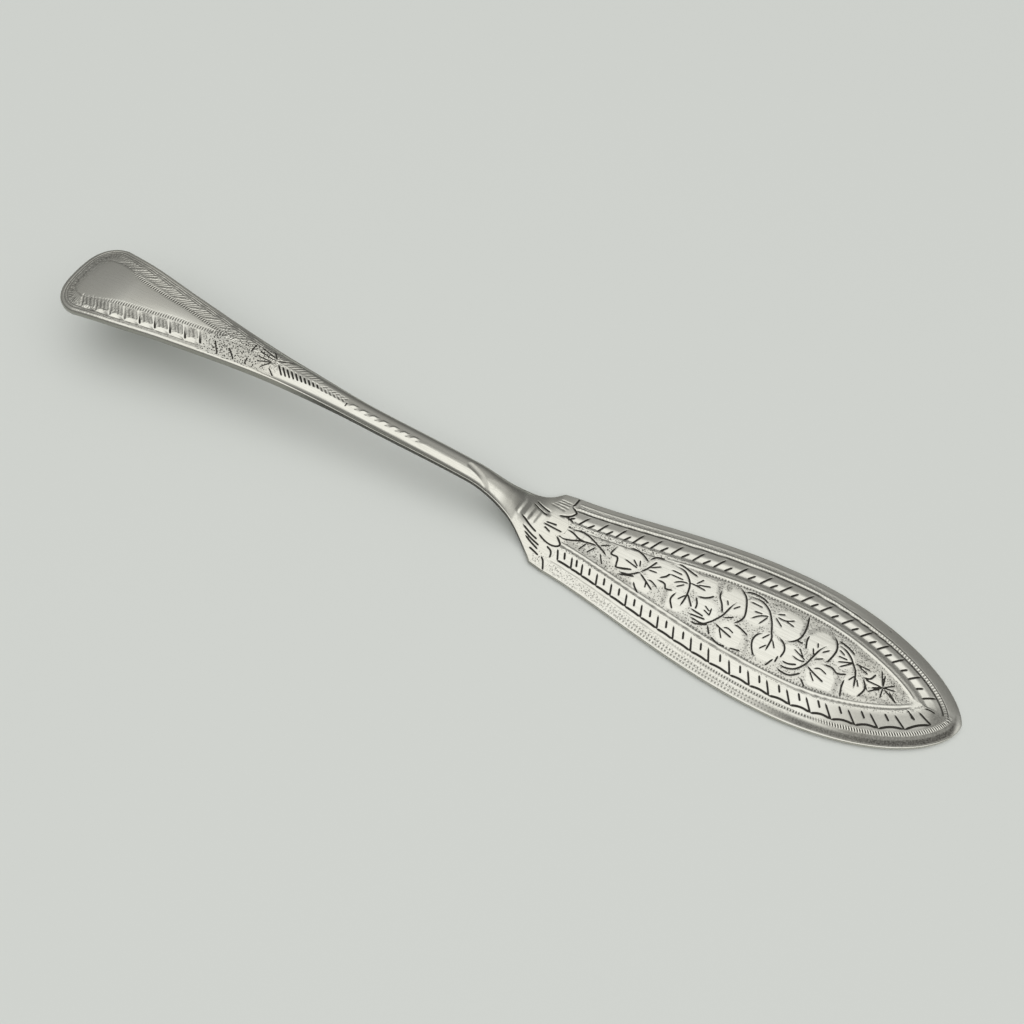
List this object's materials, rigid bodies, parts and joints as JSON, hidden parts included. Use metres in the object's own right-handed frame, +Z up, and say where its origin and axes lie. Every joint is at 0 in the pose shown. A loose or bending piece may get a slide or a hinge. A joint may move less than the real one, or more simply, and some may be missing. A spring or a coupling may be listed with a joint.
{
  "type": "butter knife",
  "caption": "Engraved silver butter knife with a leaf-shaped flat blade, a cranked neck that lifts the handle clear of the table, a slim stem and a flat paddle-shaped end.",
  "frame": {"origin": "centre of the knife's bounding box in plan, on the plane of the blade's flat underside", "axes": "+X from the handle's end to the blade's tip, +Y across the blade, +Z up from the surface that the blade lies on"},
  "size_m": [0.1906, 0.0304, 0.014],
  "materials": {
    "blade_silver": "polished silver, bright-cut engraved, dark patina in the cuts",
    "handle_silver": "polished silver with light wear, engraved paddle end",
    "hard_solder": "dull silver solder"
  },
  "bodies": {
    "root": {"blade": "blade_silver", "handle": "handle_silver", "solder_layer": "hard_solder"}
  },
  "joints": []
}
